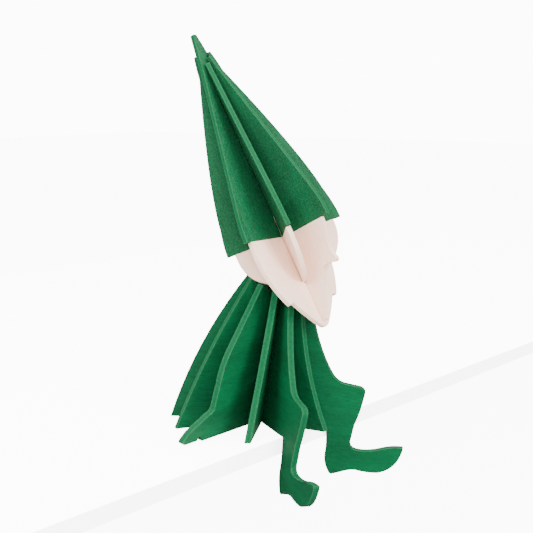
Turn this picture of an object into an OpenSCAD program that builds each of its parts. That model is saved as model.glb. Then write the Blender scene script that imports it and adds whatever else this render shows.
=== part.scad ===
// Shelf-sitting gnome of flat plywood pieces that cross on two axes.
// Body pieces cross on an axis that leans forward; the head and the hat share one that tips back.
// The gnome faces -Y and sits on the plane Z = 0, with its legs hanging below it.

/* [Board] */
// Thickness of the body board
body_board = 2.0; // [1.5:0.1:2.4]
// Thickness of the head and hat board
head_board = 1.5; // [1.2:0.1:1.8]
// Clearance on each side of a slot
slip = 0.1; // [0.08:0.01:0.15]

/* [Body] */
// Forward lean of the body's axis, in degrees
lean = 10; // [6:1:13]
// Height of the head's brim centre above the seat, along the body's axis
body_rise = 61.2; // [56:0.2:73]
// Radius of a body fin at its top
neck_r = 10.0; // [8:0.2:11]
// Radius of the hem at the side fins
hem_r = 27.8; // [25:0.2:33.4]
// How much farther the hem reaches at the back than at the sides
hem_shift = 2.1; // [0:0.1:3]
// Outward bulge of the back edges, which is also the inward sweep of the front ones
bulge = 5.4; // [0:0.2:7]

/* [Limbs] */
// Radius of the elbow
elbow_r = 24.3; // [22:0.2:27]
// Height of the front fin's lower corner above the seat
front_rise = 1.2; // [0:0.1:3]
// Height of the fingers above the seat
hand_rise = 0.8; // [0:0.1:1]
// Radius of the fingertips
hand_r = 38.6; // [35:0.2:42]
// Height of the hand above the seat at the wrist
wrist_h = 9.0; // [7:0.2:11]
// Radius of the knee
knee_r = 32.4; // [30:0.2:36]
// Height of the knee
knee_h = 17.4; // [15:0.2:20]
// Radius where the back of the shin leaves the hem
shin_back_r = 21.2; // [20:0.2:24]
// Radius at the front of the ankle
ankle_r = 30.2; // [28:0.2:33]
// Depth of the sole below the seat
sole_drop = 11.0; // [9:0.2:15]
// Length of the foot ahead of the ankle
toe_reach = 16.9; // [12:0.2:20]

/* [Head] */
// Backward tip of the head's axis, in degrees
tip_back = 30.8; // [28:0.2:35]
// Radius of the head's brim on the face and cheek pieces
brow_r = 16.5; // [15:0.1:17.5]
// Radius of the round underside of the cheek pieces
cheek_round = 14.3; // [13:0.1:15]
// Radius of the round underside at the back of the head
back_round = 12.2; // [11.8:0.1:14]
// Greatest half-width of the beard piece
beard_r = 17.6; // [16.5:0.1:18.4]
// Length of the beard below the brim
beard_drop = 30.4; // [27:0.2:34]
// Height of the nose below the brim
nose_drop = 13.4; // [12:0.2:15]
// Distance of the brim's centre behind the body's axis
head_set_back = 0.55; // [0.4:0.05:0.7]
// Height of the brim line on the axis above the brim centre
brim_rise = 0.7; // [0.5:0.1:1.2]
// Slope of the brim, higher at the back, in degrees
brim_slope = 3.5; // [0:0.5:4]

/* [Hat] */
// Radius of the hat at its brim
hat_r = 19.0; // [18.6:0.1:21]
// Height of the hat
hat_h = 74.4; // [68:0.2:89]
// Outward bow of the left hat piece's edges
hat_bow = 2.0; // [0:0.2:4]
// Half-width of the blunt tip
hat_tip_r = 0.8; // [0.6:0.1:1.2]

/* [Joints] */
// Width of the tongue that stands up into the hat
hat_tongue_w = 12; // [8:0.5:14]
// Height of the tongue that stands up into the hat
hat_tongue_h = 8; // [6:0.5:9]
// Width of the neck tongue
neck_tongue_w = 6.8; // [5:0.2:7.4]
// Depth below the brim at which the neck tongue ends
neck_tongue_top = 9; // [8:0.2:10]
// Gap between the head and the body pieces' hollow tops
nest_gap = 1.0; // [0.8:0.1:1.4]
// How much closer the leg pieces' tops come, as they stand between the head's pieces
leg_top_gain = 1.5; // [0:0.1:1.6]
// How much closer the tops of the arms and plain pieces come
side_top_gain = 0.5; // [0:0.1:0.6]

/* [Hidden] */

body_stain = "#007A40";
hat_stain = "#02713C";
bare_birch = "#E8D8CC";

// Curves are drawn with this many straight steps.
steps = 10;
// Anything that reaches past every outline.
far = 200;
// Body outlines run this far below the seat and are trimmed flat in place.
spare = 0.4;
// The back fins are this much wider at the neck than the side fins.
neck_shift = 0.9;

// The round underside of the cheek pieces is centred a little below the brim, off the axis.
cheek_centre = [brow_r - cheek_round, -1];
cheek_foot = cheek_centre[1] - cheek_round;
// The tops of the body pieces are hollowed to clear that round.
nest_r = brow_r - 1 + nest_gap;
nest_h = body_rise + cheek_centre[1];
nest_floor = nest_h - nest_r;
turn = lean + tip_back;

// The planes by azimuth, lowest crossing first. 0 is the front and 90 is the gnome's right.
// Each piece is whole between its own level and the next one up.
body_order = [60, 120, 90, 30, 150, 0];
body_levels = [for (i = [0:6]) nest_floor * i / 6];
head_order = [90, 0, 45, 135];
head_levels = [-beard_drop, cheek_foot - slip, -5, -1.5, 0];
// The first entry of the hat is the head's tongue, which its pieces straddle.
hat_order = [135, 0, 45, 135, 90];
hat_levels = [0, hat_tongue_h + slip, 0.3 * hat_h, 0.48 * hat_h, 0.67 * hat_h, hat_h];
// Where the hat's fins start, in the same order.
hat_tops = [0, 0.87 * hat_h, 0.84 * hat_h, 0.9 * hat_h, hat_h];

// The neck tongue stands close behind the head's axis, between the two rear cheek fins.
neck_front = -(body_board / 2 + (head_board / 2 + slip) * sqrt(2));
neck_back = neck_front - neck_tongue_w;

// ---- curves ----

// Points of a curve with one control point, all but its first.
function bend(a, c, b) =
  [for (i = [1:steps]) let (s = i / steps) (1 - s) * (1 - s) * a + 2 * s * (1 - s) * c + s * s * b];

// Points of a round stretch about a centre, from one angle to another.
function round_stretch(centre, r, from, to) =
  [for (i = [0:steps]) let (a = from + (to - from) * i / steps) centre + r * [cos(a), sin(a)]];

// Two half outlines back to back: the first along the azimuth, the second opposite.
function both_ways(front, back) =
  concat(front, [for (i = [len(back) - 1:-1:0]) [-back[i][0], back[i][1]]]);

// Height of the seat in a body piece, at a radius along an azimuth.
function seat_h(r, azimuth) = r * cos(azimuth) * tan(lean);

// Height of the brim in a head or hat piece, at a radius along an azimuth.
function brim_h(r, azimuth) = brim_rise - r * cos(azimuth) * tan(brim_slope);

// ---- slots ----

// Acute angle between two planes of one axis.
function apart(a, b) = let (d = abs(a - b) % 180) min(d, 180 - d);

// Half-width of the slot that lets a board cross another at its axis.
function slot_half(a, b, board) = board / 2 / tan(apart(a, b) / 2) + slip;

// Half-width of one piece's slot between two levels. Below its own level it clears the pieces that it
// slides down over there, and above its own level it clears every piece that comes after it.
function level_half(order, own, board, i) =
  let (passing = i < own ? [i:own - 1] : [own + 1:len(order) - 1])
  max([for (m = passing) if (order[m] != order[own]) slot_half(order[own], order[m], board)]);

// One side of a slot that steps from level to level, without repeated points.
function slot_side(order, levels, own, board, first, last) =
  [for (i = [first:last], top = [0, 1])
    let (
      half = level_half(order, own, board, i),
      low = i == 0 ? -far : levels[i],
      high = i == len(order) - 1 ? far : levels[i + 1],
      same = i > first && level_half(order, own, board, i - 1) == half
    )
    if (top == 1 || !same) [half, top == 1 ? high : low]];

// Slots of one piece, each in one outline: from below up to its own level, and from the next one up.
module slots(order, levels, own, board) {
  if (own > 0) {
    under = slot_side(order, levels, own, board, 0, own - 1);
    polygon(both_ways(under, under));
  }
  if (own < len(order) - 1) {
    over = slot_side(order, levels, own, board, own + 1, len(order) - 1);
    polygon(both_ways(over, over));
  }
}

// ---- placing ----

// Turns a board so that its first axis lies along an azimuth and its second points up.
module stand(azimuth) {
  rotate([0, 0, 270 - azimuth])
    rotate([90, 0, 0])
      children();
}

// One body piece. The seat trims its lower edge flat as far forward as the shins.
module body_piece(own) {
  color(body_stain)
    difference() {
      rotate([lean, 0, 0])
        stand(body_order[own]) {
          linear_extrude(height = body_board, center = true)
            difference() {
              children(0);
              nest(body_order[own]);
              slots(body_order, body_levels, own, body_board);
            }
          if ($children > 1)
            linear_extrude(height = body_board, center = true)
              children(1);
        }
      translate([-far / 2, -(shin_back_r - 1) * cos(30), -1])
        cube([far, far, 1]);
    }
}

// Moves from the body's foot to the brim centre and tips back to the head's axis.
module at_head() {
  rotate([lean, 0, 0])
    translate([0, head_set_back, body_rise])
      rotate([-turn, 0, 0])
        children();
}

// One head piece.
module head_piece(own) {
  color(bare_birch)
    at_head()
      stand(head_order[own]) {
        linear_extrude(height = head_board, center = true)
          difference() {
            children(0);
            slots(head_order, head_levels, own, head_board);
          }
        if ($children > 1)
          linear_extrude(height = head_board, center = true)
            children(1);
      }
}

// One hat piece, cut off at its own top.
module hat_piece(own) {
  azimuth = hat_order[own];
  color(hat_stain)
    at_head()
      stand(azimuth)
        linear_extrude(height = head_board, center = true)
          difference() {
            polygon(both_ways(hat_half(azimuth), hat_half(azimuth + 180)));
            slots(hat_order, hat_levels, own, head_board);
            translate([-far, hat_tops[own]])
              square([2 * far, far]);
            if (azimuth == hat_order[0])
              hat_notch();
          }
}

// ---- body outlines ----

// Half of a plain body piece, from the neck out to the hem.
function plain_half(azimuth) =
  let (
    top = neck_r - neck_shift * cos(azimuth),
    neck = [top, nest_floor + 4],
    reach = hem_r - hem_shift * cos(azimuth),
    hem = [reach, seat_h(reach, azimuth) + (azimuth == 0 ? front_rise : 0)],
    across = (hem - neck) / norm(hem - neck),
    control = (neck + hem) / 2 - bulge * cos(azimuth) * [-across[1], across[0]]
  )
  concat(
    [[top, nest_h], neck],
    bend(neck, control, hem),
    [hem - [0, spare], [1, -spare]]);

// The arm slopes to the elbow, drops to the wrist, and the hand rests on the seat.
function arm_half() =
  let (
    neck = [neck_r, nest_floor + 4],
    elbow_in = [elbow_r - 3.6, 29],
    elbow_out = [elbow_r + 0.2, 17],
    wrist = [elbow_r + 1.3, wrist_h + 1],
    palm = [elbow_r + 3.4, wrist_h - 0.7],
    knuckle = [hand_r - 2.6, 4.3],
    fingertip = [hand_r, hand_rise + 1],
    finger_foot = [hand_r - 1.6, hand_rise],
    hand_heel = [hand_r - 6.4, hand_rise],
    cuff = [hand_r - 8.7, hand_rise / 2]
  )
  concat(
    [[neck_r, nest_h], neck, elbow_in],
    bend(elbow_in, [elbow_r - 0.4, 24], elbow_out),
    [wrist],
    bend(wrist, [elbow_r + 1.5, wrist_h - 0.2], palm),
    [knuckle],
    bend(knuckle, [hand_r - 0.6, 2.6], fingertip),
    bend(fingertip, [hand_r + 0.1, hand_rise], finger_foot),
    [hand_heel],
    bend(hand_heel, hand_heel + [-0.9, 2.8], cuff),
    [cuff - [spare, spare], [1, -spare]]);

// The thigh sweeps out to the knee, the shin drops, and the shoe has a heel and a raised toe.
function leg_half() =
  let (
    neck = [neck_r - 0.4, nest_floor + 4],
    thigh = [knee_r - 11.4, knee_h + 2.8],
    lap = [knee_r - 5.9, knee_h + 0.1],
    knee_top = [knee_r - 1.9, knee_h - 0.1],
    knee = [knee_r, knee_h - 2.3],
    shin = [ankle_r + 0.5, 4.5],
    ankle = [ankle_r, 9.2 - sole_drop],
    instep = [ankle_r + 2.8, 6.8 - sole_drop],
    toe_end = ankle_r + toe_reach,
    vamp = [toe_end - 6.3, 8.9 - sole_drop],
    toe = [toe_end, 10.5 - sole_drop],
    toe_tip = [toe_end + 0.1, 9 - sole_drop],
    ball = [toe_end - 6.7, 0.4 - sole_drop],
    sole = [ankle_r + 3.3, -sole_drop],
    arch = [ankle_r - 1.7, -1.7 - sole_drop],
    heel = [ankle_r - 4.2, -2.9 - sole_drop],
    heel_back = [ankle_r - 5.8, -1.9 - sole_drop],
    calf = [shin_back_r + 1.4, 4.5 - sole_drop],
    crotch = [shin_back_r, seat_h(shin_back_r, 30) + 0.1],
    seat_end = [shin_back_r - 2, seat_h(shin_back_r - 2, 30) - spare]
  )
  concat(
    [[neck_r - 0.4, nest_h], neck],
    bend(neck, [knee_r - 18.8, knee_h + 12.7], thigh),
    bend(thigh, [knee_r - 9.4, knee_h], lap),
    [knee_top],
    bend(knee_top, [knee_r + 0.1, knee_h - 0.5], knee),
    bend(knee, [knee_r - 0.4, knee_h - 7.8], shin),
    [ankle],
    bend(ankle, [ankle_r - 0.1, 6.8 - sole_drop], instep),
    bend(instep, [ankle_r + 6.3, 6.8 - sole_drop], vamp),
    bend(vamp, [toe_end - 3.4, 10.2 - sole_drop], toe),
    bend(toe, [toe_end + 0.4, 10 - sole_drop], toe_tip),
    bend(toe_tip, [toe_end - 1.1, 2.4 - sole_drop], ball),
    bend(ball, [ankle_r + 6.8, -0.3 - sole_drop], sole),
    bend(sole, [ankle_r + 1.3, -sole_drop], arch),
    [heel],
    bend(heel, [ankle_r - 5.1, -3.2 - sole_drop], heel_back),
    bend(heel_back, [shin_back_r + 1.2, 1 - sole_drop], calf),
    bend(calf, [shin_back_r + 1.5, 8.5 - sole_drop], crotch),
    [seat_end, [1, -spare]]);

// Hollow in the top of a body piece that the head sits in. The legs' planes miss the head's pieces.
module nest(azimuth) {
  gain = azimuth == 0 ? 0 : azimuth % 120 == 30 ? leg_top_gain : side_top_gain;
  translate([0, nest_h])
    circle(r = nest_r - gain, $fn = 96);
}

// The neck tongue, drawn in the middle body piece but square to the head's axis.
module neck_tongue() {
  translate([-head_set_back, body_rise])
    rotate(turn)
      translate([neck_back, -nest_r - 0.8])
        square([neck_tongue_w, nest_r + 0.8 - neck_tongue_top]);
}

// ---- head outlines ----

// Half of a cheek piece: flat along the brim and round below, less so at the back.
function cheek_half(azimuth) =
  let (curve = cos(azimuth) > 0 ? cheek_round : back_round)
  concat(
    [[brow_r, brim_h(brow_r, azimuth) - slip]],
    round_stretch([brow_r - curve, cheek_centre[1]], curve, 0, -90));

// Half of the beard piece: an upper lock, a small step and a lower lock down to the tip.
function beard_half() =
  let (
    widest = [beard_r, -5],
    lock_side = [beard_r - 3.2, -17.4],
    upper_lock = [beard_r - 5.7, 9 - beard_drop],
    step_in = [beard_r - 7.4, 9.5 - beard_drop],
    tip = [1.6, 0.4 - beard_drop]
  )
  concat(
    [[beard_r - 0.4, brim_rise - slip], widest],
    bend(widest, [beard_r - 0.2, -12], lock_side),
    bend(lock_side, [beard_r - 4.6, 10.2 - beard_drop], upper_lock),
    [step_in],
    bend(step_in, [beard_r - 11.4, 4.4 - beard_drop], tip),
    [[0.6, -beard_drop]]);

// Front half of the face piece: brow, a plain pointed nose, and the ridge of the beard.
function profile_half() =
  let (
    brow = [brow_r, brim_h(brow_r, 0) - slip],
    bridge = [brow_r - 2.1, -9],
    nose = [brow_r - 1.3, -nose_drop],
    nostril = [brow_r - 2.6, -nose_drop - 1.2],
    under_nose = [brow_r - 5.6, -nose_drop - 0.5],
    lip = [brow_r - 7.8, -nose_drop - 1.8],
    ridge_end = [2.6, 1.6 - beard_drop]
  )
  concat(
    [brow],
    bend(brow, [brow_r - 0.2, -5], bridge),
    bend(bridge, [brow_r - 2.1, -nose_drop + 2], nose),
    bend(nose, [brow_r - 1.1, -nose_drop - 1.6], nostril),
    bend(nostril, [brow_r - 4, -nose_drop - 0.6], under_nose),
    bend(under_nose, [brow_r - 7, -nose_drop - 0.5], lip),
    bend(lip, [4.2, 9 - beard_drop], ridge_end),
    [[0, 1.6 - beard_drop], [0, cheek_centre[1] - back_round]]);

// Notch in the back of the face piece for the neck tongue.
module neck_notch() {
  translate([neck_back - slip, -far])
    square([neck_tongue_w + 2 * slip, far - neck_tongue_top + slip]);
}

// Tongue of the left cheek piece that stands up into the hat.
module hat_tongue() {
  translate([-hat_tongue_w / 2, -slip])
    square([hat_tongue_w, hat_tongue_h + slip]);
}

// ---- hat outlines ----

// Half of a hat piece: a rounded brim and a long taper to the tip, bowed lower down and at the tip.
function hat_half(azimuth) =
  let (
    bow = azimuth % 180 == 135 ? hat_bow : 0,
    brim = [hat_r, brim_h(hat_r, azimuth)],
    shoulder = [hat_r - 1.6 + 0.15 * bow, 0.14 * hat_h],
    neck = [4.1, 0.8 * hat_h],
    tip = [hat_tip_r, hat_h]
  )
  concat(
    [brim],
    bend(brim, [hat_r, 0.06 * hat_h], shoulder),
    bend(shoulder, 0.7 * shoulder + 0.3 * neck + [bow, bow / 4], neck),
    bend(neck, (neck + tip) / 2 + [0.4 * bow, 0], tip));

// Notch in the left hat piece for the head's tongue.
module hat_notch() {
  translate([-hat_tongue_w / 2 - slip, -far])
    square([hat_tongue_w + 2 * slip, far + hat_tongue_h + slip]);
}

// ---- pieces ----

module body_middle_plate() {
  body_piece(5) {
    polygon(both_ways(plain_half(0), plain_half(180)));
    neck_tongue();
  }
}

module body_right_leg_plate() {
  body_piece(3)
    polygon(both_ways(leg_half(), plain_half(210)));
}

// The left leg is the far end of its plane, so the halves change places.
module body_left_leg_plate() {
  body_piece(4)
    polygon(both_ways(plain_half(150), leg_half()));
}

module body_arms_plate() {
  body_piece(2)
    polygon(both_ways(arm_half(), arm_half()));
}

module body_right_plain_plate() {
  body_piece(0)
    polygon(both_ways(plain_half(60), plain_half(240)));
}

module body_left_plain_plate() {
  body_piece(1)
    polygon(both_ways(plain_half(120), plain_half(300)));
}

module head_face_plate() {
  head_piece(1)
    difference() {
      polygon(both_ways(profile_half(), cheek_half(180)));
      neck_notch();
    }
}

module head_beard_plate() {
  head_piece(0)
    polygon(both_ways(beard_half(), beard_half()));
}

module head_right_cheek_plate() {
  head_piece(2)
    polygon(both_ways(cheek_half(45), cheek_half(225)));
}

module head_left_cheek_plate() {
  head_piece(3) {
    polygon(both_ways(cheek_half(135), cheek_half(315)));
    hat_tongue();
  }
}

module hat_middle_plate() {
  hat_piece(1);
}

module hat_right_plate() {
  hat_piece(2);
}

module hat_left_plate() {
  hat_piece(3);
}

module hat_cross_plate() {
  hat_piece(4);
}

body_middle_plate();
body_right_leg_plate();
body_left_leg_plate();
body_arms_plate();
body_right_plain_plate();
body_left_plain_plate();
head_face_plate();
head_beard_plate();
head_right_cheek_plate();
head_left_cheek_plate();
hat_middle_plate();
hat_cross_plate();
hat_right_plate();
hat_left_plate();
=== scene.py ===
"""Looks for the slotted plywood gnome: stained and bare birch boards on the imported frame."""

from math import radians

import bmesh
import bpy
from bpy.props import FloatProperty, FloatVectorProperty, PointerProperty
from mathutils import Matrix, Vector


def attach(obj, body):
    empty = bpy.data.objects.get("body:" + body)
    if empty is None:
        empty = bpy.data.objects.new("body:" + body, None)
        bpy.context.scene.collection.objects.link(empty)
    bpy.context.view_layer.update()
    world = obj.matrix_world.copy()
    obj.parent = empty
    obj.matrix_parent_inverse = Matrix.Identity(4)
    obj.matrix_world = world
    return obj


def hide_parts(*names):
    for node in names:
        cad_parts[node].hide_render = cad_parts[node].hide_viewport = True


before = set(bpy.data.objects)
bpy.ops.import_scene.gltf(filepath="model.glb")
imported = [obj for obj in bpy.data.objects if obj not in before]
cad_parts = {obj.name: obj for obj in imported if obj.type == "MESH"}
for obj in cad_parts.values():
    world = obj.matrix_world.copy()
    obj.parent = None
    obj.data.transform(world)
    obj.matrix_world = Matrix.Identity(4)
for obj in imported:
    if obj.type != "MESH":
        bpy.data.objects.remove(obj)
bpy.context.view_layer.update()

bl_info = {
    "name": "Plywood Gnome",
    "version": (1, 0, 0),
    "blender": (4, 5, 0),
    "location": "View3D > Sidebar > Gnome",
    "description": "Builds a shelf-sitting gnome of slotted plywood boards",
    "category": "Add Mesh",
}

MM = 0.001
BODY_BOARD = 2.0 * MM
HEAD_BOARD = 1.5 * MM

# Mesh attribute with each point's place in its own board: along, up and through it.
BOARD_CO = "board_co"

# Each board by its node and the azimuth of its plane: 0 is the front, 90 the gnome's right.
BODY_BOARDS = (
    ("body_middle_plate", 0),
    ("body_right_leg_plate", 30),
    ("body_right_plain_plate", 60),
    ("body_arms_plate", 90),
    ("body_left_plain_plate", 120),
    ("body_left_leg_plate", 150),
)
HEAD_BOARDS = (
    ("head_face_plate", 0),
    ("head_right_cheek_plate", 45),
    ("head_beard_plate", 90),
    ("head_left_cheek_plate", 135),
)
HAT_BOARDS = (
    ("hat_middle_plate", 0),
    ("hat_right_plate", 45),
    ("hat_cross_plate", 90),
    ("hat_left_plate", 135),
)

# Run of the face veneer's grain in its board, from the first axis: level or upright.
LEVEL = 0.0
UPRIGHT = radians(90)

# Points nearer than this are one point, and faces nearer to one plane than this are one face.
WELD = 1e-7
FLAT = radians(0.4)
# A face is broad when this much of its normal points through the board.
BROAD = 0.9
BROAD_AFTER_BEVEL = 0.95
# Edges turn crisp where their faces meet at more than this.
CRISP = radians(20)

# Stage, in metres. The ledge's top is a hair below the seat.
LEDGE_HALF = 0.6
LEDGE_FRONT = -0.018
# Depth of the thin sheet on the ledge's front that carries the front face's painted shade.
LEDGE_SHADE_SHEET = 0.0002
LEDGE_BACK = 0.3
LEDGE_TOP = -0.00002
LEDGE_FOOT = -0.005
FLOOR_HALF = 3.0
FLOOR_TOP = -0.06
FLOOR_FOOT = -0.07
SKY_GLOW = 12.0

# Each light: its name, where it stands, the height that it points at, its size and its power.
LIGHTS = (
    ("Key", (-0.55, 0.02, 0.42), 0.06, 0.3, 4.0),
    ("Fill", (-0.45, -0.42, 0.3), 0.06, 0.4, 3.0),
    ("Front", (-0.1, -0.7, 0.35), 0.05, 0.4, 9.0),
    ("Top", (0.1, 0.1, 0.8), 0.05, 0.5, 8.0),
)

CAMERA_AT = (-0.28397, -0.22896, 0.10691)
CAMERA_AHEAD = (0.77282, 0.61603, -0.15251)
CAMERA_LENS = 77.55
CAMERA_SENSOR = 36.0


# ---- settings ----


class GnomeSettings(bpy.types.PropertyGroup):
    """Sizes and colours that the operators read."""

    lean: FloatProperty(
        name="Lean",
        description="Forward lean of the body's axis",
        default=radians(10),
        subtype="ANGLE",
    )
    tip_back: FloatProperty(
        name="Tip Back",
        description="Backward tip of the head's axis",
        default=radians(30.8),
        subtype="ANGLE",
    )
    body_rise: FloatProperty(
        name="Body Rise",
        description="Seat to brim along the body's axis",
        default=61.2 * MM,
        unit="LENGTH",
    )
    head_set_back: FloatProperty(
        name="Head Set Back",
        description="Brim centre behind the body's axis",
        default=0.55 * MM,
        unit="LENGTH",
    )
    arris: FloatProperty(
        name="Arris",
        description="Softening of the cut edges",
        default=0.12 * MM,
        min=0.0,
        unit="LENGTH",
    )
    stain_light: FloatVectorProperty(
        name="Stain",
        description="Stain where it is thin",
        default=(0.0004, 0.088, 0.028),
        size=3,
        subtype="COLOR",
    )
    stain_dark: FloatVectorProperty(
        name="Stain in Grain",
        description="Stain where it sinks in",
        default=(0.0002, 0.036, 0.011),
        size=3,
        subtype="COLOR",
    )
    birch_light: FloatVectorProperty(
        name="Birch",
        description="Bare birch",
        default=(0.95, 0.69, 0.56),
        size=3,
        subtype="COLOR",
    )
    birch_dark: FloatVectorProperty(
        name="Birch Grain",
        description="Darker birch grain",
        default=(0.74, 0.47, 0.34),
        size=3,
        subtype="COLOR",
    )
    room_white: FloatProperty(
        name="Room Light",
        description="Strength of the light from all round",
        default=1.6,
        min=0.0,
    )


# ---- shader building ----


def set_or_link(tree, socket, value):
    """Gives a socket a plain number, a plain colour or another node's output."""
    if isinstance(value, (int, float)):
        socket.default_value = value
    elif isinstance(value, tuple):
        socket.default_value = (*value, 1.0)
    else:
        tree.links.new(value, socket)


def new_group(name, inputs, outputs):
    """An empty shader group with those sockets, and its two ends."""
    group = bpy.data.node_groups.new(name, "ShaderNodeTree")
    for label, kind, default in inputs:
        made = group.interface.new_socket(label, in_out="INPUT", socket_type=kind)
        if default is not None:
            made.default_value = default
    for label, kind in outputs:
        group.interface.new_socket(label, in_out="OUTPUT", socket_type=kind)
    return group, group.nodes.new("NodeGroupInput"), group.nodes.new("NodeGroupOutput")


def math_node(tree, operation, a, b=None, clamp=False):
    node = tree.nodes.new("ShaderNodeMath")
    node.operation = operation
    node.use_clamp = clamp
    set_or_link(tree, node.inputs[0], a)
    if b is not None:
        set_or_link(tree, node.inputs[1], b)
    return node.outputs[0]


def map_range(tree, value, low, high, to_low=0.0, to_high=1.0):
    node = tree.nodes.new("ShaderNodeMapRange")
    tree.links.new(value, node.inputs["Value"])
    node.inputs["From Min"].default_value = low
    node.inputs["From Max"].default_value = high
    node.inputs["To Min"].default_value = to_low
    node.inputs["To Max"].default_value = to_high
    return node.outputs["Result"]


def mix_colour(tree, factor, a, b):
    """Mix of two colours. A mix node has its colour sockets at 6 and 7, and its colour output at 2."""
    node = tree.nodes.new("ShaderNodeMix")
    node.data_type = "RGBA"
    set_or_link(tree, node.inputs[0], factor)
    set_or_link(tree, node.inputs[6], a)
    set_or_link(tree, node.inputs[7], b)
    return node.outputs[2]


def noise(tree, vector, scale, detail, roughness):
    node = tree.nodes.new("ShaderNodeTexNoise")
    tree.links.new(vector, node.inputs["Vector"])
    node.inputs["Scale"].default_value = scale
    node.inputs["Detail"].default_value = detail
    node.inputs["Roughness"].default_value = roughness
    return node.outputs["Fac"]


def drawn_out(tree, vector, share):
    """Coordinates shrunk along their first axis, which draws out a pattern that way."""
    node = tree.nodes.new("ShaderNodeMapping")
    node.inputs["Scale"].default_value = (share, 1.0, 1.0)
    tree.links.new(vector, node.inputs["Vector"])
    return node.outputs[0]


def turned_grain(tree, vector, angle):
    """Coordinates turned in the board's plane, so that the grain runs at an angle to its first axis."""
    node = tree.nodes.new("ShaderNodeMapping")
    node.inputs["Rotation"].default_value = (0.0, 0.0, -angle)
    tree.links.new(vector, node.inputs["Vector"])
    return node.outputs[0]


def bump(tree, height, strength, distance):
    node = tree.nodes.new("ShaderNodeBump")
    node.inputs["Strength"].default_value = strength
    node.inputs["Distance"].default_value = distance
    tree.links.new(height, node.inputs["Height"])
    return node.outputs["Normal"]


# ---- shared node groups ----


def board_space_group():
    """Board coordinates, plain and shifted so that no two boards share their grain."""
    tree, _, ends_out = new_group(
        "Board Space", [], [("Shifted", "NodeSocketVector"), ("Board", "NodeSocketVector")]
    )
    coords = tree.nodes.new("ShaderNodeAttribute")
    coords.attribute_type = "GEOMETRY"
    coords.attribute_name = BOARD_CO
    info = tree.nodes.new("ShaderNodeObjectInfo")
    farthest = 3.7
    away = math_node(tree, "MULTIPLY", info.outputs["Random"], farthest)
    shift = tree.nodes.new("ShaderNodeCombineXYZ")
    for axis in "XYZ":
        tree.links.new(away, shift.inputs[axis])
    added = tree.nodes.new("ShaderNodeVectorMath")
    added.operation = "ADD"
    tree.links.new(coords.outputs["Vector"], added.inputs[0])
    tree.links.new(shift.outputs[0], added.inputs[1])
    tree.links.new(added.outputs[0], ends_out.inputs["Shifted"])
    tree.links.new(coords.outputs["Vector"], ends_out.inputs["Board"])
    return tree


def grain_group():
    """Rotary-cut birch: fine broken fibres over slow bands, with darker flecks and open pores."""
    # Each layer: what its first axis shrinks to, its noise's scale, detail and roughness, and
    # the noise levels at which it starts and is full.
    layers = {
        "Fibres": (0.07, 2600.0, 3.0, 0.7, 0.3, 0.7),
        "Bands": (0.22, 170.0, 3.0, 0.5, 0.3, 0.7),
        "Flecks": (0.2, 1500.0, 2.0, 0.5, 0.58, 0.72),
        "Pores": (0.4, 4200.0, 2.0, 0.6, 0.46, 0.66),
    }
    tree, ends_in, ends_out = new_group(
        "Birch Grain",
        [("Vector", "NodeSocketVector", None)],
        [(layer, "NodeSocketFloat") for layer in layers],
    )
    for layer, (share, scale, detail, roughness, start, full) in layers.items():
        along = drawn_out(tree, ends_in.outputs["Vector"], share)
        level = noise(tree, along, scale, detail, roughness)
        tree.links.new(map_range(tree, level, start, full), ends_out.inputs[layer])
    return tree


def arris_mask_group():
    """Mask of the arrises, broken up along their length. Over it the stained boards are lightened, partly
    for stain rubbed off and partly as a painted highlight along the bevels. The birch is darkened, partly
    for laser-burnt edges and partly as painted shade.
    """
    tree, ends_in, ends_out = new_group(
        "Edge Wear",
        [("Vector", "NodeSocketVector", None), ("Radius", "NodeSocketFloat", 0.4 * MM)],
        [("Wear", "NodeSocketFloat")],
    )
    soft = tree.nodes.new("ShaderNodeBevel")
    soft.samples = 6
    tree.links.new(ends_in.outputs["Radius"], soft.inputs["Radius"])
    geometry = tree.nodes.new("ShaderNodeNewGeometry")
    dot = tree.nodes.new("ShaderNodeVectorMath")
    dot.operation = "DOT_PRODUCT"
    tree.links.new(soft.outputs[0], dot.inputs[0])
    tree.links.new(geometry.outputs["Normal"], dot.inputs[1])
    turned = math_node(tree, "SUBTRACT", 1.0, dot.outputs["Value"])
    near = map_range(tree, turned, 0.02, 0.22)
    patches = noise(tree, ends_in.outputs["Vector"], 420.0, 3.0, 0.6)
    broken = map_range(tree, patches, 0.38, 0.62, 0.35, 1.0)
    tree.links.new(math_node(tree, "MULTIPLY", near, broken, True), ends_out.inputs["Wear"])
    return tree


def plies_group():
    """Layers across a cut edge: the middle ply shows end grain between two thin glue lines."""
    tree, ends_in, ends_out = new_group(
        "Ply Layers",
        [("Vector", "NodeSocketVector", None), ("Thickness", "NodeSocketFloat", BODY_BOARD)],
        [("Middle", "NodeSocketFloat"), ("Glue", "NodeSocketFloat"), ("Fuzz", "NodeSocketFloat")],
    )
    # Depths are shares of the board's thickness, from its middle.
    glue_depth = 0.19
    glue_half = 0.035
    middle_fade = 0.03
    vector = ends_in.outputs["Vector"]
    split = tree.nodes.new("ShaderNodeSeparateXYZ")
    tree.links.new(vector, split.inputs[0])
    wobble = map_range(tree, noise(tree, vector, 500.0, 2.0, 0.5), 0.0, 1.0, -0.06, 0.06)
    through = math_node(tree, "ABSOLUTE", split.outputs["Z"])
    depth = math_node(tree, "DIVIDE", through, ends_in.outputs["Thickness"])
    depth = math_node(tree, "ADD", depth, wobble)
    middle = map_range(tree, depth, glue_depth + middle_fade, glue_depth - middle_fade)
    tree.links.new(middle, ends_out.inputs["Middle"])
    from_glue = math_node(tree, "ABSOLUTE", math_node(tree, "SUBTRACT", depth, glue_depth))
    tree.links.new(map_range(tree, from_glue, glue_half, 0.0), ends_out.inputs["Glue"])
    fuzz = noise(tree, vector, 1900.0, 3.0, 0.7)
    tree.links.new(map_range(tree, fuzz, 0.35, 0.68), ends_out.inputs["Fuzz"])
    return tree


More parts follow.
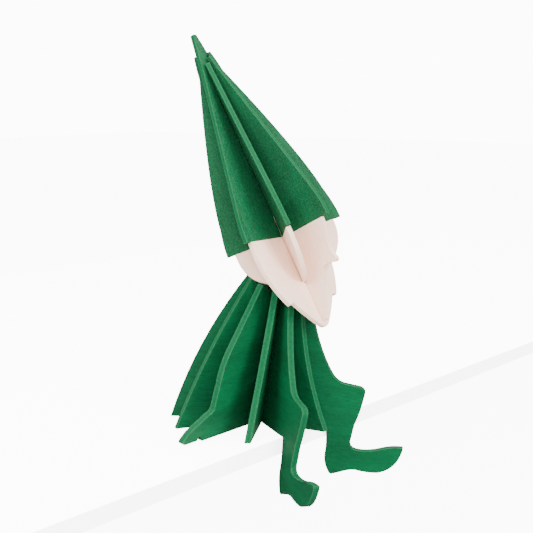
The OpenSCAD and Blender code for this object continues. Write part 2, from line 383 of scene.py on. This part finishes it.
def add_groups():
    for name, make in (
        ("Board Space", board_space_group),
        ("Birch Grain", grain_group),
        ("Edge Wear", arris_mask_group),
        ("Ply Layers", plies_group),
    ):
        if name not in bpy.data.node_groups:
            make()


def use_group(tree, name, **values):
    node = tree.nodes.new("ShaderNodeGroup")
    node.node_tree = bpy.data.node_groups[name]
    for label, value in values.items():
        set_or_link(tree, node.inputs[label], value)
    return node.outputs


# ---- materials ----


def lighter(colour, share):
    return tuple(c + (1.0 - c) * share for c in colour)


def darker(colour, share):
    return tuple(share * c for c in colour)


def new_material(name, colour):
    material = bpy.data.materials.new(name)
    material.use_nodes = True
    material.diffuse_color = (*colour, 1.0)
    tree = material.node_tree
    shader = next(n for n in tree.nodes if n.type == "BSDF_PRINCIPLED")
    return material, tree, shader


def over(tree, colour, mask, strength, top):
    """One colour laid over another through a mask."""
    return mix_colour(tree, math_node(tree, "MULTIPLY", mask, strength), colour, top)


def finish_wood(tree, shader, colour, rough, low_rough, high_rough, height, strength, distance):
    """Joins colour, roughness and relief to a dull wood shader."""
    tree.links.new(colour, shader.inputs["Base Color"])
    roughness = map_range(tree, rough, 0.0, 1.0, low_rough, high_rough)
    tree.links.new(roughness, shader.inputs["Roughness"])
    tree.links.new(bump(tree, height, strength, distance), shader.inputs["Normal"])
    shader.inputs["Specular IOR Level"].default_value = 0.1


def face_material(name, light, dark, arris_colour, run, contrast, bands, roughness, bare):
    """Broad face of a board: its grain's run and contrast, its bands' share, and how bare its pores are."""
    material, tree, shader = new_material(name, light)
    space = use_group(tree, "Board Space")
    grain = use_group(tree, "Birch Grain", Vector=turned_grain(tree, space["Shifted"], run))
    arris_mask = use_group(tree, "Edge Wear", Vector=space["Board"])
    fine = math_node(tree, "MULTIPLY", grain["Fibres"], contrast * (1.0 - bands))
    slow = math_node(tree, "MULTIPLY", grain["Bands"], contrast * bands)
    flecks = math_node(tree, "MULTIPLY", grain["Flecks"], 0.35 * contrast)
    mixed = math_node(tree, "ADD", math_node(tree, "ADD", fine, slow), flecks, True)
    colour = mix_colour(tree, mixed, light, dark)
    colour = over(tree, colour, grain["Pores"], bare, arris_colour)
    # Over the arrises: lighter on stained boards, partly rubbed stain and partly painted highlight; darker
    # on birch, partly laser burn and partly painted shade.
    colour = over(tree, colour, arris_mask["Wear"], 0.65, arris_colour)
    finish_wood(tree, shader, colour, mixed, roughness - 0.06, roughness + 0.1, mixed, 0.35, 0.06 * MM)
    return material


def edge_material(name, light, dark, arris_colour, thickness, roughness):
    """Cut edge of a board, with its layers."""
    material, tree, shader = new_material(name, light)
    space = use_group(tree, "Board Space")
    plies = use_group(tree, "Ply Layers", Vector=space["Board"], Thickness=thickness)
    arris_mask = use_group(tree, "Edge Wear", Vector=space["Board"])
    colour = mix_colour(tree, math_node(tree, "MULTIPLY", plies["Fuzz"], 0.55), light, dark)
    colour = over(tree, colour, plies["Middle"], 0.3, dark)
    colour = over(tree, colour, plies["Glue"], 0.35, dark)
    # Over the arrises: lighter on stained boards, partly rubbed stain and partly painted highlight; darker
    # on birch, partly laser burn and partly painted shade.
    colour = over(tree, colour, arris_mask["Wear"], 0.8, arris_colour)
    rough = math_node(tree, "ADD", plies["Fuzz"], plies["Middle"], True)
    finish_wood(tree, shader, colour, rough, roughness, roughness + 0.12, plies["Fuzz"], 0.45, 0.08 * MM)
    return material


def stained_edge(settings, name, thickness):
    light = tuple(settings.stain_light)
    return edge_material(
        name,
        light=lighter(light, 0.004),
        dark=tuple(settings.stain_dark),
        # Lighter arris colour: partly rubbed stain, partly painted highlight.
        arris_colour=lighter(light, 0.07),
        thickness=thickness,
        roughness=0.7,
    )


def stage_material(name, grey, glow):
    """Matt grey that the camera sees at its own level, however the light falls on it."""
    material, tree, shader = new_material(name, (grey, grey, grey))
    shader.inputs["Base Color"].default_value = (grey, grey, grey, 1.0)
    shader.inputs["Roughness"].default_value = 0.35
    shader.inputs["Emission Color"].default_value = (1.0, 1.0, 1.0, 1.0)
    seen = tree.nodes.new("ShaderNodeLightPath")
    level = map_range(tree, seen.outputs["Is Camera Ray"], 0.0, 1.0, 0.0, glow)
    tree.links.new(level, shader.inputs["Emission Strength"])
    return material


# ---- boards ----


def stand(base, azimuth):
    """Frame of a board on a base: its first axis along the azimuth, its second up the base's axis."""
    return base @ Matrix.Rotation(radians(270 - azimuth), 4, "Z") @ Matrix.Rotation(radians(90), 4, "X")


def body_place(settings, azimuth):
    """Frame of a body board, from the seat up the leaning axis."""
    return stand(Matrix.Rotation(settings.lean, 4, "X"), azimuth)


def head_place(settings, azimuth):
    """Frame of a head or hat board, from the brim's centre up the tipped axis."""
    up_to_brim = Matrix.Translation((0.0, settings.head_set_back, settings.body_rise))
    tip = Matrix.Rotation(-settings.lean - settings.tip_back, 4, "X")
    return stand(Matrix.Rotation(settings.lean, 4, "X") @ up_to_brim @ tip, azimuth)


def is_broad(face, share):
    return abs(face.normal.z) > share


def soften_rims(work, arris):
    """Rounds the long arrises, which run between a broad face and an edge."""
    rims = [
        e
        for e in work.edges
        if len(e.link_faces) == 2 and is_broad(e.link_faces[0], BROAD) != is_broad(e.link_faces[1], BROAD)
    ]
    bmesh.ops.bevel(
        work, geom=rims, offset=arris, segments=2, profile=0.5, affect="EDGES", clamp_overlap=True
    )
    work.normal_update()


def board_mesh(node, place, arris):
    """The node's board with each flat face in one piece and its long arrises softened."""
    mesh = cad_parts[node].data.copy()
    mesh.name = node.replace("_plate", "_board")
    mesh.transform(place.inverted())
    mesh.materials.clear()
    work = bmesh.new()
    work.from_mesh(mesh)
    bmesh.ops.remove_doubles(work, verts=work.verts, dist=WELD)
    bmesh.ops.dissolve_limit(work, angle_limit=FLAT, verts=work.verts, edges=work.edges)
    work.normal_update()
    soften_rims(work, arris)
    for face in work.faces:
        broad = is_broad(face, BROAD_AFTER_BEVEL)
        face.smooth = not broad
        face.material_index = 0 if broad else 1
    work.to_mesh(mesh)
    work.free()
    mesh.set_sharp_from_angle(angle=CRISP)
    spot = mesh.attributes.new(BOARD_CO, "FLOAT_VECTOR", "POINT")
    for vertex, item in zip(mesh.vertices, spot.data):
        item.vector = vertex.co
    mesh.transform(place)
    return mesh


def add_boards(boards, body, place, settings, face, edge):
    """One object for each board of a stack, in place of its node and riding on its body."""
    for node, azimuth in boards:
        mesh = board_mesh(node, place(settings, azimuth), settings.arris)
        mesh.materials.append(face)
        mesh.materials.append(edge)
        board = bpy.data.objects.new(mesh.name, mesh)
        bpy.context.scene.collection.objects.link(board)
        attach(board, body)
        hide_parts(node)


class GNOME_OT_add_body(bpy.types.Operator):
    """Build the six body boards"""

    bl_idname = "gnome.add_body"
    bl_label = "Add Body Boards"

    def execute(self, context):
        s = context.scene.gnome_settings
        add_groups()
        light = tuple(s.stain_light)
        face = face_material(
            "Stained Body Face",
            light=light,
            dark=tuple(s.stain_dark),
            # Lighter arris colour: partly rubbed stain, partly painted highlight.
            arris_colour=lighter(light, 0.05),
            run=LEVEL,
            contrast=0.8,
            bands=0.45,
            roughness=0.62,
            bare=0.05,
        )
        edge = stained_edge(s, "Stained Body Edge", BODY_BOARD)
        add_boards(BODY_BOARDS, "body", body_place, s, face, edge)
        return {"FINISHED"}


class GNOME_OT_add_head(bpy.types.Operator):
    """Build the four head boards"""

    bl_idname = "gnome.add_head"
    bl_label = "Add Head Boards"

    def execute(self, context):
        s = context.scene.gnome_settings
        add_groups()
        light, dark = tuple(s.birch_light), tuple(s.birch_dark)
        # Darker arris colour for the birch: partly laser burn, partly painted shade along its arrises.
        shade = darker(dark, 0.2)
        face = face_material(
            "Bare Birch Face",
            light=light,
            dark=dark,
            arris_colour=shade,
            run=UPRIGHT,
            contrast=0.5,
            bands=0.4,
            roughness=0.6,
            bare=0.06,
        )
        edge = edge_material(
            "Bare Birch Edge", light=light, dark=dark, arris_colour=shade, thickness=HEAD_BOARD, roughness=0.7
        )
        add_boards(HEAD_BOARDS, "head", head_place, s, face, edge)
        return {"FINISHED"}


class GNOME_OT_add_hat(bpy.types.Operator):
    """Build the four hat boards"""

    bl_idname = "gnome.add_hat"
    bl_label = "Add Hat Boards"

    def execute(self, context):
        s = context.scene.gnome_settings
        add_groups()
        light = tuple(s.stain_light)
        face = face_material(
            "Stained Hat Face",
            light=light,
            dark=tuple(s.stain_dark),
            # Lighter arris colour: partly rubbed stain, partly painted highlight.
            arris_colour=lighter(light, 0.06),
            run=UPRIGHT,
            contrast=0.95,
            bands=0.35,
            roughness=0.62,
            bare=0.3,
        )
        edge = stained_edge(s, "Stained Hat Edge", HEAD_BOARD)
        add_boards(HAT_BOARDS, "hat", head_place, s, face, edge)
        return {"FINISHED"}


# ---- stage ----


def slab(name, low, high, material):
    work = bmesh.new()
    bmesh.ops.create_cube(work, size=1.0)
    mesh = bpy.data.meshes.new(name)
    work.to_mesh(mesh)
    work.free()
    mesh.materials.append(material)
    made = bpy.data.objects.new(name, mesh)
    low, high = Vector(low), Vector(high)
    made.location = (low + high) / 2
    made.scale = high - low
    bpy.context.scene.collection.objects.link(made)
    return made


def soft_light(name, at, aim_height, size, power):
    lamp = bpy.data.lights.new(name, "AREA")
    lamp.shape = "DISK"
    lamp.size = size
    lamp.energy = power
    made = bpy.data.objects.new(name, lamp)
    made.location = at
    aim = Vector((0, 0, aim_height)) - Vector(at)
    made.rotation_euler = aim.to_track_quat("-Z", "Y").to_euler()
    bpy.context.scene.collection.objects.link(made)
    return made


def add_ledge():
    """The ledge, a thin sheet on its front that glows less so as to paint shade on the ledge's front face,
    and the floor far below it.
    """
    top_white = stage_material("Stage White", grey=0.9, glow=9.0)
    # The front sheet glows half as bright as the top: painted shade on the ledge's front face.
    front_painted_shade = stage_material("Stage Edge", grey=0.9, glow=4.5)
    floor_white = stage_material("Stage Floor", grey=0.4, glow=10.0)
    shade_sheet_back = LEDGE_FRONT + LEDGE_SHADE_SHEET
    half, foot, top = LEDGE_HALF, LEDGE_FOOT, LEDGE_TOP
    wide = FLOOR_HALF
    return [
        slab("Ledge", (-half, shade_sheet_back, foot), (half, LEDGE_BACK, top), top_white),
        slab("Ledge Lip", (-half, LEDGE_FRONT, foot), (half, shade_sheet_back, top), front_painted_shade),
        slab("Floor", (-wide, -wide, FLOOR_FOOT), (wide, wide, FLOOR_TOP), floor_white),
    ]


def add_room(scene, room_white):
    """Even light from all round, which the camera sees as a bright white."""
    room = bpy.data.worlds.new("Room")
    room.use_nodes = True
    tree = room.node_tree
    back = tree.nodes["Background"]
    back.inputs["Color"].default_value = (1.0, 1.0, 1.0, 1.0)
    seen = tree.nodes.new("ShaderNodeLightPath")
    level = map_range(tree, seen.outputs["Is Camera Ray"], 0.0, 1.0, room_white, SKY_GLOW)
    tree.links.new(level, back.inputs["Strength"])
    scene.world = room


def add_camera(scene):
    lens = bpy.data.cameras.new("Camera")
    lens.sensor_width = CAMERA_SENSOR
    lens.lens = CAMERA_LENS
    camera = bpy.data.objects.new("Camera", lens)
    ahead = Vector(CAMERA_AHEAD).normalized()
    across = ahead.cross(Vector((0, 0, 1))).normalized()
    up = across.cross(ahead)
    turn = Matrix((across, up, -ahead)).transposed().to_4x4()
    camera.matrix_world = Matrix.Translation(CAMERA_AT) @ turn
    scene.collection.objects.link(camera)
    scene.camera = camera


class GNOME_OT_add_stage(bpy.types.Operator):
    """Add the ledge, the floor, the lights and the camera"""

    bl_idname = "gnome.add_stage"
    bl_label = "Add Stage"

    def execute(self, context):
        made = add_ledge()
        made.extend(soft_light(*light) for light in LIGHTS)
        add_room(context.scene, context.scene.gnome_settings.room_white)
        add_camera(context.scene)
        return {"FINISHED"}


# ---- panel and running ----


class GNOME_PT_panel(bpy.types.Panel):
    """Lists the gnome's operators"""

    bl_idname = "GNOME_PT_panel"
    bl_label = "Plywood Gnome"
    bl_space_type = "VIEW_3D"
    bl_region_type = "UI"
    bl_category = "Gnome"

    def draw(self, context):
        for name in ("add_body", "add_head", "add_hat", "add_stage"):
            self.layout.operator("gnome." + name)


CLASSES = (
    GnomeSettings,
    GNOME_OT_add_body,
    GNOME_OT_add_head,
    GNOME_OT_add_hat,
    GNOME_OT_add_stage,
    GNOME_PT_panel,
)


def register():
    for made in CLASSES:
        bpy.utils.register_class(made)
    bpy.types.Scene.gnome_settings = PointerProperty(type=GnomeSettings)


def unregister():
    del bpy.types.Scene.gnome_settings
    for made in reversed(CLASSES):
        bpy.utils.unregister_class(made)


def main():
    register()
    bpy.ops.gnome.add_body()
    bpy.ops.gnome.add_head()
    bpy.ops.gnome.add_hat()
    bpy.ops.gnome.add_stage()


if __name__ == "__main__":
    main()
